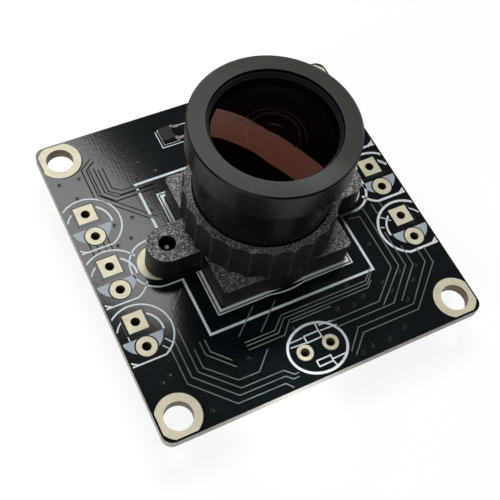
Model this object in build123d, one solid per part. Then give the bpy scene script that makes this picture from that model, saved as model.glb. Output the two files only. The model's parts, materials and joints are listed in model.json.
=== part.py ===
from build123d import *
import math
import os

os.makedirs("parts", exist_ok=True)

# A board camera: a small square circuit board, a moulded lens holder and a screw-in lens.
# Millimetres. The origin is the middle of the four mounting holes, on the board's underside.
# +Z is the optical axis, towards the scene, and X and Y run along the board's sides.

# Board
board_side = 32.0
board_thickness = 1.0
board_corner = 1.0
mask_margin = 0.2
copper = 0.06

# Mounting holes, plated through
mounting_edge = 2.0
mounting_hole_radius = 1.3
mounting_pad_radius = 2.05

# Footprints of the infrared lamps: a square and a round pad for each
lamp_edge = 2.05
lamp_left_first_y = -5.87
lamp_left_pitch = 6.0
lamp_right_first_y = -5.53
lamp_right_pitch = 6.2
lamp_count = 3
lamp_pad_pitch = 2.54
lamp_square_pad = 1.88
lamp_round_pad_radius = 0.94
lamp_drill_radius = 0.43
lamp_outline_radius = 2.9
lamp_flat_drop = 2.62
lamp_fill_radius = 1.93
lamp_fill_top = 0.95
lamp_fill_clear = 1.08

# Footprint of the microphone
microphone_x = -0.22
microphone_edge = 2.75
microphone_pad_pitch = 2.58
microphone_pad_radius = 0.76
microphone_drill_radius = 0.42
microphone_outline_width = 5.56
microphone_outline_height = 4.74

# Printed outlines
ink = 0.03
ink_width = 0.24
left_ink_width = 0.15
fine_ink_width = 0.13
holder_frame_half = 8.4
holder_frame_top = 8.72
holder_frame_bottom = 8.35
ear_frame_radius = 2.5
ear_frame_x = 9.85
left_ear_frame_y = 0.15
right_ear_frame_y = 0.45
foot_frame_half = 6.92
foot_frame_inner_half = 6.6
foot_frame_bulge_radius = 7.13
ink_pad_clear = 0.28

# Lens holder
base_width = 12.84
base_depth = 13.1
base_height = 3.05
base_corner = 0.45
base_foot_height = 0.35
base_foot_inset = 0.14
ear_spacing = 18.0
ear_radius = 1.85
ear_height = 3.16
ear_draft = 1.6
ear_hole_radius = 0.8
skirt_radius = 6.72
collar_radius = 7.1
collar_height = 7.3
collar_flute_depth = 0.27
collar_flute_count = 24
collar_flute_turn = 11.2
cavity_side = 10.4
cavity_corner = 0.6
cavity_height = 2.0
shelf_thickness = 1.0
shelf_opening_radius = 3.6
thread_radius = 6.0
thread_clearance = 0.05
counterbore_depth = 1.4
counterbore_clearance = 0.1
ear_pad_radius = 1.82
ear_pad_x = 9.85

# Screws that hold the lens holder from below
screw_radius = 0.75
screw_length = 3.5
screw_tip = 0.55
screw_head_radius = 1.5
screw_head_height = 0.8
screw_board_clearance = 0.2
screw_slot_width = 0.42
screw_slot_depth = 0.4

# Infrared filter and image sensor
filter_side = 8.0
filter_thickness = 0.3
filter_clearance = 0.1
sensor_width = 7.2
sensor_depth = 6.8
sensor_height = 1.1
sensor_wall = 0.4
sensor_ledge = 0.5
sensor_glass_thickness = 0.35
die_thickness = 0.3
die_clearance = 0.4

# Lens barrel
focus_gap = 0.75
head_radius = 7.15
head_height = 2.95
head_chamfer = 0.15
neck_radius = 6.2
neck_clearance = 0.7
relief_radius = 5.75
relief_width = 0.4
barrel_lead_in = 0.3
front_opening_radius = 5.6
retainer_pocket_depth = 1.2
front_pocket_radius = 5.5
front_seat_depth = 3.0
stack_pocket_radius = 3.25
rear_lip = 0.85
rear_opening_radius = 2.6
glass_clearance = 0.04
retainer_depth = 0.3
retainer_clearance = 0.05
retainer_step = 0.14
retainer_step_count = 2
edge_break = 0.06

# Front element
front_element_curve = 18.0
front_element_clear = 5.27
front_element_edge = 2.2
front_element_back_curve = 4.4
front_element_back_clear = 2.75

# Inner elements, spacers and stop, from the front element down
second_element_edge = 1.8
second_element_curve = 4.8
second_element_clear = 2.6
front_spacer_length = 1.7
spacer_wall = 0.5
third_element_edge = 1.0
third_element_curve = 9.0
third_element_clear = 2.5
middle_spacer_length = 0.75
stop_thickness = 0.15
stop_opening_radius = 0.9
rear_spacer_length = 0.8
crown_edge = 1.5
crown_curve = 10.0
crown_back_curve = 8.0
crown_clear = 2.5
flint_edge = 0.8

# Small transistor on the top of the board
transistor_x = -3.3
transistor_edge = 3.05
transistor_width = 1.25
transistor_length = 1.6
transistor_height = 0.55
transistor_pitch = 1.45

# Controller on the underside
controller_x = 0.0
controller_y = -4.2
controller_side = 7.0
controller_height = 1.4
controller_lead_pitch = 0.5
controller_leads_per_side = 12
controller_lead_width = 0.22

# Memory on the underside
memory_x = 0.0
memory_connector_gap = 0.68
memory_width = 4.9
memory_depth = 3.9
memory_height = 1.5
memory_lead_pitch = 1.27
memory_leads_per_side = 4
memory_lead_width = 0.4

# Voltage regulators on the underside
regulator_x = 8.3
regulator_low_y = -6.4
regulator_high_y = 6.4
regulator_width = 2.9
regulator_depth = 1.6
regulator_height = 1.1
regulator_lead_pitch = 0.95
regulator_lead_width = 0.4

# Leads of every moulded package
lead_reach = 1.0
lead_foot = 0.5
lead_thickness = 0.15
package_lift = 0.1
package_draft = 8.0

# Crystal on the underside
crystal_x = -8.6
crystal_y = -6.6
crystal_width = 3.2
crystal_depth = 2.5
crystal_base_height = 0.35
crystal_lid_height = 0.45
crystal_lid_inset = 0.2

# Small two-ended parts on the underside
chip_length = 1.6
chip_width = 0.8
chip_height = 0.75
chip_end = 0.3
chip_end_wrap = 0.03
bulk_length = 3.5
bulk_width = 2.8
bulk_height = 1.9
bulk_x = -8.6
bulk_y = 7.0
bulk_tab_width = 2.2
bulk_tab_thickness = 0.15

# Cable connector on the underside
connector_ways = 5
connector_pitch = 1.25
connector_end = 1.75
connector_depth = 4.6
connector_height = 3.1
connector_wall = 0.5
connector_back_wall = 1.0
connector_edge_inset = 0.3
connector_pin = 0.4
connector_pin_inset = 1.38
connector_pin_foot = 0.9
connector_pin_knee = 0.6
connector_tab_width = 0.9
connector_tab_depth = 1.8
connector_tab_thickness = 0.3
connector_slot_width = 3.0
connector_slot_depth = 2.2

# Places and heights that follow from the sizes above
mounting_spacing = board_side - 2 * mounting_edge
lamp_column_x = board_side / 2 - lamp_edge
microphone_y = microphone_edge - board_side / 2
transistor_y = board_side / 2 - transistor_edge
connector_front = board_side / 2 - connector_edge_inset
connector_back = connector_front - connector_depth
pin_knee = connector_back - connector_pin_knee
pin_foot_end = pin_knee - connector_pin_foot
memory_y = pin_foot_end - memory_connector_gap - lead_reach - memory_depth / 2
chip_column = controller_side / 2 + lead_reach + 1.5 * chip_width
chip_spacing = 4 * chip_width
board_top = board_thickness
base_top = board_top + base_height
ear_top = board_top + ear_height
collar_top = board_top + collar_height
shelf_low = board_top + cavity_height
shelf_top = shelf_low + shelf_thickness
filter_top = shelf_low + filter_thickness + filter_clearance
counterbore_floor = collar_top - counterbore_depth
barrel_low = shelf_top + focus_gap
stack_seat = barrel_low + rear_lip
doublet_height = crown_edge + flint_edge
stop_height = middle_spacer_length + stop_thickness + rear_spacer_length
stack_height = second_element_edge + front_spacer_length + third_element_edge + stop_height + doublet_height
front_seat = stack_seat + stack_height
front_face = front_seat + front_seat_depth
head_low = front_face - head_height
neck_low = counterbore_floor + neck_clearance
retainer_floor = front_face - retainer_pocket_depth
bore_radius = thread_radius + thread_clearance
stack_radius = stack_pocket_radius - glass_clearance
mask_side = board_side - 2 * mask_margin
lamp_top_y = lamp_pad_pitch / 2


def disc(radius, low, high, x=0.0, y=0.0):
    """A round of one radius from one height to another."""
    return Pos(x, y, low) * extrude(Circle(radius), high - low)


def slab(width, depth, low, high, x=0.0, y=0.0, corner=0.0):
    """A block from one height to another, with rounded upright edges if it has a corner radius."""
    outline = RectangleRounded(width, depth, corner) if corner else Rectangle(width, depth)
    return Pos(x, y, low) * extrude(outline, high - low)


def turned(points):
    """A body turned about the optical axis from (radius, height) points."""
    return revolve(Plane.XZ * Polygon(*points, align=None), Axis.Z)


def sag(curve, height):
    """How far a spherical face falls away at a height from the axis."""
    return curve - math.sqrt(curve**2 - height**2)


def face_arc(flat, curve, clear, bulge):
    """The section of a spherical face from the axis to its rim, bulging up for +1 and down for -1."""
    apex = flat + bulge * sag(curve, clear)
    middle = (clear / 2, apex - bulge * sag(curve, clear / 2))
    return ThreePointArc((0, apex), middle, (clear, flat))


def flat_face(flat):
    """The section of a flat face, out to the clear radius of the inner elements."""
    return Line((0, flat), (crown_clear, flat))


def lens_element(radius, low, high, lower_face, upper_face):
    """A glass element with flat rims.

    A face is (curve, clear radius, +1 bulging up or -1 down), or None if it is flat.
    """
    upper = face_arc(high, *upper_face) if upper_face else flat_face(high)
    lower = face_arc(low, *lower_face) if lower_face else flat_face(low)
    rim = Polyline(upper @ 1, (radius, high), (radius, low), lower @ 1)
    section = make_face([upper, rim, lower, Line(lower @ 0, upper @ 0)])
    return revolve(Plane.XZ * section, Axis.Z)


def ink_run(*points, width=ink_width):
    """A printed line through some points, with round ends and corners."""
    run = Sketch()
    for start, end in zip(points, points[1:]):
        middle = ((start[0] + end[0]) / 2, (start[1] + end[1]) / 2)
        length = math.dist(start, end)
        turn = math.degrees(math.atan2(end[1] - start[1], end[0] - start[0]))
        run += Pos(*middle) * Rot(0, 0, turn) * SlotCenterToCenter(length, width)
    return run


def ink_ring(radius, width=ink_width):
    """A printed circle."""
    return Circle(radius + width / 2) - Circle(radius - width / 2)


def side_ink_width(x):
    """The print is finer on the left of the board."""
    return left_ink_width if x < 0 else ink_width


def printed(flat):
    """Ink of one thickness on the top of the board."""
    return Pos(0, 0, board_top) * extrude(flat, ink)


def lamp_places():
    """The middle of each lamp footprint, as (x, y)."""
    left = [(-lamp_column_x, lamp_left_first_y + n * lamp_left_pitch) for n in range(lamp_count)]
    right = [(lamp_column_x, lamp_right_first_y + n * lamp_right_pitch) for n in range(lamp_count)]
    return left + right


def corner_places():
    """The middle of each mounting hole, as (x, y)."""
    half = mounting_spacing / 2
    return [(x, y) for x in (-half, half) for y in (-half, half)]


def microphone_places():
    """The middle of each microphone pad, as (x, y)."""
    half = microphone_pad_pitch / 2
    return [(microphone_x + side * half, microphone_y) for side in (-1, 1)]


def ear_places():
    """The middle of each ear screw, as (x, y)."""
    return [(side * ear_spacing / 2, 0.0) for side in (-1, 1)]


def circuit_board():
    board = slab(board_side, board_side, 0, board_top, corner=board_corner)
    for x, y in corner_places():
        board -= disc(mounting_hole_radius + copper, 0, board_top, x, y)
    for x, y in lamp_places():
        for side in (-1, 1):
            board -= disc(lamp_drill_radius + copper, 0, board_top, x, y + side * lamp_top_y)
    for x, y in microphone_places():
        board -= disc(microphone_drill_radius + copper, 0, board_top, x, y)
    for x, y in ear_places():
        board -= disc(screw_radius + screw_board_clearance, 0, board_top, x, y)
    return board


def eyelet(land, drill, x, y):
    """A plated hole: a land on both faces of the board, joined by a tube."""
    lands = Pos(0, 0, board_top) * extrude(land, copper)
    lands += Pos(0, 0, -copper) * extrude(land, copper)
    tube = disc(drill + copper, 0, board_top, x, y)
    return lands + tube - disc(drill, -copper, board_top + copper, x, y)


def mounting_pads():
    mask = Rectangle(mask_side, mask_side)
    return [
        eyelet(Pos(x, y) * Circle(mounting_pad_radius) & mask, mounting_hole_radius, x, y)
        for x, y in corner_places()
    ]


def lamp_square_pads():
    pads = []
    for x, middle in lamp_places():
        y = middle + lamp_top_y
        pads.append(eyelet(Pos(x, y) * Rectangle(lamp_square_pad, lamp_square_pad), lamp_drill_radius, x, y))
    return pads


def lamp_round_pads():
    pads = []
    for x, middle in lamp_places():
        y = middle - lamp_top_y
        pads.append(eyelet(Pos(x, y) * Circle(lamp_round_pad_radius), lamp_drill_radius, x, y))
    return pads


def microphone_pads():
    return [
        eyelet(Pos(x, y) * Circle(microphone_pad_radius), microphone_drill_radius, x, y)
        for x, y in microphone_places()
    ]


def ear_pads():
    """Bare copper that shows round the outer end of each ear."""
    pads = []
    for x, y in ear_places():
        side = math.copysign(1, x)
        frame_y = left_ear_frame_y if x < 0 else right_ear_frame_y
        land = Pos(side * ear_pad_x, frame_y) * Circle(ear_pad_radius)
        land -= ear_outline(ear_radius + ear_foot_spread() + ink)
        pads.append(Pos(0, 0, board_top) * extrude(land, copper))
    return pads


def lamp_outline(x, y):
    """A lamp's printed outline: a circle with a flat below."""
    above = Pos(x, y + board_side / 2 - lamp_flat_drop) * Rectangle(board_side, board_side)
    chord = math.sqrt(lamp_outline_radius**2 - lamp_flat_drop**2)
    outward = math.copysign(lamp_outline_radius, x)
    width = side_ink_width(x)
    outline = Pos(x, y) * ink_ring(lamp_outline_radius, width) & above
    start = (x - math.copysign(chord, x), y - lamp_flat_drop)
    return outline + ink_run(start, (x + outward, y - lamp_flat_drop), width=width)


def lamp_fill(x, y):
    """The printed half disc about a lamp's round pad."""
    pad_y = y - lamp_top_y
    below = Pos(x, pad_y + lamp_fill_top - board_side / 2) * Rectangle(board_side, board_side)
    half_disc = Pos(x, y) * Circle(lamp_fill_radius) & below
    return half_disc - Pos(x, pad_y) * Circle(lamp_fill_clear)


def ear_lands():
    """The two round copper lands under the ears, as one flat shape grown by a margin."""
    lands = Pos(-ear_pad_x, left_ear_frame_y) * Circle(ear_pad_radius + ink_pad_clear)
    return lands + Pos(ear_pad_x, right_ear_frame_y) * Circle(ear_pad_radius + ink_pad_clear)


def silkscreen_outlines():
    mask = Rectangle(mask_side, mask_side) - ear_lands() - ear_outline(ear_radius + ear_foot_spread() + ink)
    drawing = []
    for x, y in lamp_places():
        drawing.append(lamp_outline(x, y) & mask)
    drawing.append(microphone_outline())
    drawing.append(holder_frame())
    drawing.append(foot_frame())
    return [solid for flat in drawing for solid in printed(flat).solids()]


def microphone_outline():
    """A printed oval round the microphone's pads."""
    wide = microphone_outline_width / 2
    deep = microphone_outline_height / 2
    half = ink_width / 2
    oval = Ellipse(wide + half, deep + half) - Ellipse(wide - half, deep - half)
    return Pos(microphone_x, microphone_y) * oval


def silkscreen_fills():
    mask = Rectangle(mask_side, mask_side)
    fills = [lamp_fill(x, y) & mask for x, y in lamp_places()]
    return [solid for flat in fills for solid in printed(flat).solids()]


def holder_frame():
    """The printed frame round the lens holder, bulging round each ear."""
    half = holder_frame_half
    height = holder_frame_top + holder_frame_bottom
    middle = (holder_frame_top - holder_frame_bottom) / 2
    outer = Pos(0, middle) * Rectangle(2 * half + ink_width, height + ink_width)
    inner = Pos(0, middle) * Rectangle(2 * half - ink_width, height - ink_width)
    for side, frame_y in ((-1, left_ear_frame_y), (1, right_ear_frame_y)):
        outer += ear_bulge(side, frame_y, ear_frame_radius + side_ink_width(side) / 2)
        inner += ear_bulge(side, frame_y, ear_frame_radius - side_ink_width(side) / 2)
    return outer - inner


def ear_bulge(side, frame_y, radius):
    """A tongue from the board's middle out to a round end beyond an ear."""
    tongue = Pos(side * ear_frame_x, frame_y) * Circle(radius)
    return tongue + Pos(side * ear_frame_x / 2, frame_y) * Rectangle(ear_frame_x, 2 * radius)


def foot_frame():
    """A fine and a broad printed line about the holder's foot, the fine one bulging round the skirt."""
    fine = foot_patch(fine_ink_width / 2) - foot_patch(-fine_ink_width / 2)
    broad = foot_square(foot_frame_inner_half, fine_ink_width)
    broad -= foot_square(foot_frame_inner_half, -fine_ink_width)
    covered = Circle(skirt_radius + ink)
    covered += Rectangle(board_side, 2 * (ear_radius + ear_foot_spread() + ink_width))
    return fine + (broad - covered) - covered


def foot_square(half, margin):
    """A square about the optical axis."""
    return Rectangle(2 * (half + margin), 2 * (half + margin))


def foot_patch(margin):
    """A square that bulges in the middle of each side."""
    return foot_square(foot_frame_half, margin) + Circle(foot_frame_bulge_radius + margin)


def ear_foot_spread():
    """How much wider an ear is at the board than at its top, on each side."""
    return ear_height * math.tan(math.radians(ear_draft))


def ear_outline(radius):
    """The outline of both ears in one, with round ends."""
    return SlotCenterToCenter(ear_spacing, 2 * radius)


def around(radius, angle):
    """A point at an angle in degrees about the optical axis."""
    return (radius * math.cos(math.radians(angle)), radius * math.sin(math.radians(angle)))


def collar_section():
    """The collar's outline: shallow hollow flutes that meet in upright ridges."""
    step = 360 / collar_flute_count
    flutes = []
    for n in range(collar_flute_count):
        angle = collar_flute_turn + n * step
        ridges = [around(collar_radius, angle), around(collar_radius, angle + step)]
        hollow = around(collar_radius - collar_flute_depth, angle + step / 2)
        flutes.append(ThreePointArc(ridges[0], hollow, ridges[1]))
    return make_face(flutes)


def base_block():
    """The square base, standing on a slightly smaller foot."""
    width = base_width - 2 * base_foot_inset
    depth = base_depth - 2 * base_foot_inset
    foot_top = board_top + base_foot_height
    foot = slab(width, depth, board_top, foot_top, corner=base_corner - base_foot_inset)
    return foot + slab(base_width, base_depth, foot_top, base_top, corner=base_corner)


def lens_holder():
    """The moulded holder: base, two ears and fluted collar, hollow over the sensor and bored for the lens."""
    ears = ear_outline(ear_radius + ear_foot_spread())
    holder = base_block()
    holder += Pos(0, 0, board_top) * extrude(ears, ear_height, taper=ear_draft)
    holder += disc(skirt_radius, board_top, base_top)
    holder += Pos(0, 0, base_top) * extrude(collar_section(), collar_top - base_top)
    holder -= slab(cavity_side, cavity_side, board_top, shelf_low, corner=cavity_corner)
    recess = filter_side + 2 * filter_clearance
    holder -= slab(recess, recess, shelf_low, filter_top)
    holder -= disc(shelf_opening_radius, filter_top, shelf_top)
    holder -= disc(bore_radius, shelf_top, counterbore_floor)
    holder -= disc(neck_radius + counterbore_clearance, counterbore_floor, collar_top)
    for x, y in ear_places():
        holder -= disc(ear_hole_radius, board_top, ear_top, x, y)
    return holder


def holder_screws():
    """Two self-tapping screws with a cross in the head and a blunt tip."""
    screws = []
    tip_start = screw_length - screw_tip
    for x, y in ear_places():
        screw = turned(
            [
                (0, -screw_head_height),
                (screw_head_radius - 2 * edge_break, -screw_head_height),
                (screw_head_radius, -screw_head_height / 2),
                (screw_head_radius, 0),
                (screw_radius, 0),
                (screw_radius, tip_start),
                (screw_radius / 4, screw_length),
                (0, screw_length),
            ]
        )
        cross = Rectangle(screw_slot_width, screw_head_radius * 1.2)
        cross += Rectangle(screw_head_radius * 1.2, screw_slot_width)
        screw -= Pos(0, 0, -screw_head_height) * extrude(cross, screw_slot_depth)
        screws.append(Pos(x, y, 0) * screw)
    return screws


def infrared_filter():
    return slab(filter_side, filter_side, filter_top - filter_thickness, filter_top)


def sensor_package():
    """The sensor's ceramic tray, with a ledge for the window and a well for the die."""
    top = board_top + sensor_height
    ledge = top - sensor_glass_thickness
    wide = sensor_width - 2 * sensor_wall
    deep = sensor_depth - 2 * sensor_wall
    tray = slab(sensor_width, sensor_depth, board_top, top)
    tray -= slab(wide, deep, ledge, top)
    tray -= slab(wide - 2 * sensor_ledge, deep - 2 * sensor_ledge, die_floor(), ledge)
    return tray


def die_floor():
    """The height of the floor that the die lies on."""
    return board_top + sensor_height - sensor_glass_thickness - die_thickness - glass_clearance


def sensor_die():
    inset = sensor_wall + sensor_ledge + die_clearance
    low = die_floor()
    return slab(sensor_width - 2 * inset, sensor_depth - 2 * inset, low, low + die_thickness)


def sensor_window():
    """The sensor's cover glass, seated on the tray's ledge."""
    inset = sensor_wall + glass_clearance
    top = board_top + sensor_height
    return slab(sensor_width - 2 * inset, sensor_depth - 2 * inset, top - sensor_glass_thickness, top)


def lens_barrel():
    """The turned barrel: ring-shaped head, smooth neck, thread below, and stepped pockets for the glass."""
    relief_low = neck_low - relief_width
    return turned(
        [
            (front_opening_radius, front_face),
            (head_radius - head_chamfer, front_face),
            (head_radius, front_face - head_chamfer),
            (head_radius, head_low + edge_break),
            (head_radius - edge_break, head_low),
            (neck_radius, head_low),
            (neck_radius, neck_low),
            (relief_radius, neck_low),
            (relief_radius, relief_low),
            (thread_radius, relief_low),
            (thread_radius, barrel_low + barrel_lead_in),
            (thread_radius - barrel_lead_in, barrel_low),
            (rear_opening_radius, barrel_low),
            (rear_opening_radius, stack_seat),
            (stack_pocket_radius, stack_seat),
            (stack_pocket_radius, front_seat),
            (front_pocket_radius, front_seat),
            (front_pocket_radius, retainer_floor),
            (front_opening_radius, retainer_floor),
        ]
    )


def front_rim():
    """The height of the front element's upper rim, which the retainer bears on."""
    return front_seat + front_element_edge


def front_retainer():
    """The black screwed ring that holds the front element, with steps that stop stray light."""
    low = front_rim()
    high = front_face - retainer_depth
    outer = front_opening_radius - retainer_clearance
    rise = (high - low) / retainer_step_count
    points = [(outer, low), (outer, high)]
    for n in range(retainer_step_count):
        radius = front_element_clear + (retainer_step_count - 1 - n) * retainer_step
        points.append((radius, high - n * rise))
        points.append((radius, high - (n + 1) * rise))
    return turned(points)


def front_element():
    radius = front_pocket_radius - glass_clearance
    lower_face = (front_element_back_curve, front_element_back_clear, 1)
    upper_face = (front_element_curve, front_element_clear, 1)
    return lens_element(radius, front_seat, front_rim(), lower_face, upper_face)


def stack_tops():
    """The upper rim of each piece under the front element, from the top down, by name."""
    lengths = {
        "second_element": second_element_edge,
        "front_spacer": front_spacer_length,
        "third_element": third_element_edge,
        "middle_spacer": middle_spacer_length,
        "aperture_stop": stop_thickness,
        "rear_spacer": rear_spacer_length,
        "crown_element": crown_edge,
        "flint_element": flint_edge,
    }
    tops, height = {}, front_seat
    for name, length in lengths.items():
        tops[name] = (height - length, height)
        height -= length
    return tops


def second_element():
    low, high = stack_tops()["second_element"]
    return lens_element(stack_radius, low, high, (second_element_curve, second_element_clear, 1), None)


def third_element():
    low, high = stack_tops()["third_element"]
    return lens_element(stack_radius, low, high, None, (third_element_curve, third_element_clear, 1))


def crown_element():
    low, high = stack_tops()["crown_element"]
    lower_face = (crown_back_curve, crown_clear, -1)
    upper_face = (crown_curve, crown_clear, 1)
    return lens_element(stack_radius, low, high, lower_face, upper_face)


def flint_element():
    """The concave glass cemented under the crown element, sharing its lower face."""
    low, high = stack_tops()["flint_element"]
    return lens_element(stack_radius, low, high, None, (crown_back_curve, crown_clear, -1))


def spacer(name):
    low, high = stack_tops()[name]
    ring = disc(stack_radius, low, high)
    return ring - disc(stack_radius - spacer_wall, low, high)


def aperture_stop():
    low, high = stack_tops()["aperture_stop"]
    return disc(stack_radius, low, high) - disc(stop_opening_radius, low, high)


def package_body(width, depth, height):
    """A moulded package that stands on its leads, split at mid height with draft both ways."""
    half = (height - package_lift) / 2
    outline = Rectangle(width, depth)
    lower = extrude(outline, -half, taper=package_draft)
    upper = extrude(outline, half, taper=package_draft)
    return Pos(0, 0, package_lift + half) * (upper + lower)


def package_lead(edge, height, width):
    """A gull-wing lead that leaves the package's side along +Y at mid height and ends in a foot at zero."""
    exit_high = package_lift + (height - package_lift) / 2 + lead_thickness / 2
    exit_low = exit_high - lead_thickness
    knee = edge + (lead_reach - lead_foot) / 2
    end = edge + lead_reach
    section = Polygon(
        (edge, exit_low),
        (knee - lead_thickness, exit_low),
        (knee, 0),
        (end, 0),
        (end, lead_thickness),
        (knee + lead_thickness, lead_thickness),
        (knee, exit_high),
        (edge, exit_high),
        align=None,
    )
    return Pos(-width / 2, 0, 0) * extrude(Plane.YZ * section, width)


def lead_row(edge, height, width, pitch, count):
    """A row of leads along one side of a package."""
    first = -(count - 1) * pitch / 2
    lead = package_lead(edge, height, width)
    return [Pos(first + n * pitch, 0, 0) * lead for n in range(count)]


def under(shapes, x, y, turn=0):
    """Turns parts over and seats them on the board's underside."""
    return [Pos(x, y, 0) * Rot(180, 0, 0) * Rot(0, 0, turn) * shape for shape in shapes]


def on_top(shapes, x, y, turn=0):
    """Seats parts on the board's top."""
    return [Pos(x, y, board_top) * Rot(0, 0, turn) * shape for shape in shapes]


def controller_body():
    body = package_body(controller_side, controller_side, controller_height)
    return under([body], controller_x, controller_y)


def controller_leads():
    leads = []
    row = lead_row(
        controller_side / 2,
        controller_height,
        controller_lead_width,
        controller_lead_pitch,
        controller_leads_per_side,
    )
    for quarter in range(4):
        leads += under(row, controller_x, controller_y, 90 * quarter)
    return leads


def memory_body():
    return under([package_body(memory_width, memory_depth, memory_height)], memory_x, memory_y)


def memory_leads():
    row = lead_row(
        memory_depth / 2,
        memory_height,
        memory_lead_width,
        memory_lead_pitch,
        memory_leads_per_side,
    )
    return under(row, memory_x, memory_y) + under(row, memory_x, memory_y, 180)


def regulator_places():
    return [(regulator_x, regulator_low_y), (regulator_x, regulator_high_y)]


def regulator_bodies():
    body = package_body(regulator_width, regulator_depth, regulator_height)
    return [solid for place in regulator_places() for solid in under([body], *place, 90)]


def regulator_leads():
    edge = regulator_depth / 2
    three = lead_row(edge, regulator_height, regulator_lead_width, regulator_lead_pitch, 3)
    two = lead_row(edge, regulator_height, regulator_lead_width, 2 * regulator_lead_pitch, 2)
    leads = []
    for x, y in regulator_places():
        leads += under(three, x, y, 90)
        leads += under(two, x, y, 270)
    return leads


def transistor_body():
    body = package_body(transistor_width, transistor_length, transistor_height)
    return on_top([body], transistor_x, transistor_y)


def transistor_leads():
    edge = transistor_width / 2
    width = regulator_lead_width * transistor_width / regulator_depth
    leads = lead_row(edge, transistor_height, width, transistor_pitch, 2)
    return on_top(leads, transistor_x, transistor_y, -90)


def crystal_base():
    return under([slab(crystal_width, crystal_depth, 0, crystal_base_height)], crystal_x, crystal_y)


def crystal_lid():
    wide = crystal_width - 2 * crystal_lid_inset
    deep = crystal_depth - 2 * crystal_lid_inset
    top = crystal_base_height + crystal_lid_height
    lid = slab(wide, deep, crystal_base_height, top, corner=2 * crystal_lid_inset)
    lid = chamfer(lid.faces().sort_by(Axis.Z)[-1].edges(), edge_break)
    return under([lid], crystal_x, crystal_y)


def beside_controller(step):
    """Two places level with each other, one on each side of the controller, some steps up from its middle."""
    y = controller_y + step * chip_spacing
    return [(controller_x + side * chip_column, y, 90) for side in (-1, 1)]


def capacitor_places():
    """The middle and turn of each small capacitor, as (x, y, degrees)."""
    near_memory = [(side * (memory_width / 2 + 2 * chip_width), memory_y, 90) for side in (-1, 1)]
    return beside_controller(-1.5) + beside_controller(0.5) + beside_controller(1.5) + near_memory


def resistor_places():
    """The middle and turn of each small resistor, as (x, y, degrees)."""
    above = regulator_low_y + regulator_width / 2 + 2 * chip_width
    pair = [(regulator_x + side * chip_width, above, 90) for side in (-1, 1)]
    return beside_controller(-0.5) + pair


def chip_body():
    inner = chip_length - 2 * chip_end
    return slab(inner, chip_width, chip_end_wrap, chip_height - chip_end_wrap)


def chip_ends():
    reach = (chip_length - chip_end) / 2
    end = slab(chip_end, chip_width + 2 * chip_end_wrap, 0, chip_height)
    return [Pos(side * reach, 0, 0) * end for side in (-1, 1)]


def capacitor_bodies():
    return [solid for x, y, turn in capacitor_places() for solid in under([chip_body()], x, y, turn)]


def capacitor_ends():
    return [solid for x, y, turn in capacitor_places() for solid in under(chip_ends(), x, y, turn)]


def resistor_bodies():
    return [solid for x, y, turn in resistor_places() for solid in under([chip_body()], x, y, turn)]


def resistor_ends():
    return [solid for x, y, turn in resistor_places() for solid in under(chip_ends(), x, y, turn)]


def bulk_capacitor():
    """The moulded supply capacitor."""
    block = slab(bulk_length, bulk_width, package_lift, bulk_height)
    block = chamfer(block.edges().filter_by(Axis.Y).group_by(Axis.Z)[-1], 4 * edge_break)
    return under([block], bulk_x, bulk_y, 90)


def bulk_capacitor_tabs():
    """Flat tabs that fold under the supply capacitor from its ends."""
    reach = bulk_length / 2
    side = slab(bulk_tab_thickness, bulk_tab_width, 0, bulk_height / 2)
    foot = slab(bulk_length / 4, bulk_tab_width, 0, package_lift)
    tab = Pos(reach + bulk_tab_thickness / 2, 0, 0) * side
    tab += Pos(reach - bulk_length / 8, 0, 0) * foot
    return under([tab, Rot(0, 0, 180) * tab], bulk_x, bulk_y, 90)


def connector_width():
    return (connector_ways - 1) * connector_pitch + 2 * connector_end


def connector_housing():
    """A side-entry housing, open towards the board's edge, with a latch slot in its outer wall."""
    wide = connector_width()
    middle = connector_front - connector_depth / 2
    housing = slab(wide, connector_depth, -connector_height, 0, y=middle)
    hollow_depth = connector_depth - connector_back_wall
    hollow_y = connector_front - hollow_depth / 2
    housing -= slab(
        wide - 2 * connector_wall,
        hollow_depth,
        connector_wall - connector_height,
        -connector_wall,
        y=hollow_y,
    )
    slot_y = connector_front - connector_slot_depth / 2
    low = -connector_height
    housing -= slab(connector_slot_width, connector_slot_depth, low, low + connector_wall, y=slot_y)
    wall_y = connector_back + connector_back_wall / 2
    for x in connector_pin_places():
        low, high = connector_pin_heights()
        housing -= slab(connector_pin, connector_back_wall, low, high, x, wall_y)
    return housing


def connector_pin_places():
    first = -(connector_ways - 1) * connector_pitch / 2
    return [first + n * connector_pitch for n in range(connector_ways)]


def connector_pin_heights():
    """The lower and upper height of the straight part of a pin."""
    middle = -connector_height / 2
    return middle - connector_pin / 2, middle + connector_pin / 2


def connector_pins():
    """Bent square pins: a contact in the mouth, through the back wall, and down to a foot on the board."""
    low, high = connector_pin_heights()
    tip = connector_front - connector_pin_inset
    section = Polygon(
        (tip, low),
        (tip, high),
        (pin_knee + connector_pin, high),
        (pin_knee + connector_pin, 0),
        (pin_foot_end, 0),
        (pin_foot_end, -connector_pin / 2),
        (pin_knee, -connector_pin / 2),
        (pin_knee, low),
        align=None,
    )
    pin = extrude(Plane.YZ * section, connector_pin)
    return [Pos(x - connector_pin / 2, 0, 0) * pin for x in connector_pin_places()]


def connector_tabs():
    """Metal anchors soldered to the board at both sides of the connector."""
    reach = connector_width() / 2
    y = connector_back + connector_tab_depth
    foot = slab(connector_tab_width, connector_tab_depth, -connector_tab_thickness, 0)
    wall = slab(connector_tab_thickness, connector_tab_depth, -connector_height / 2, 0)
    tabs = []
    for side in (-1, 1):
        tab = Pos(side * (reach + connector_tab_width / 2), y, 0) * foot
        tab += Pos(side * (reach + connector_tab_thickness / 2), y, 0) * wall
        tabs.append(tab)
    return tabs


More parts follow.
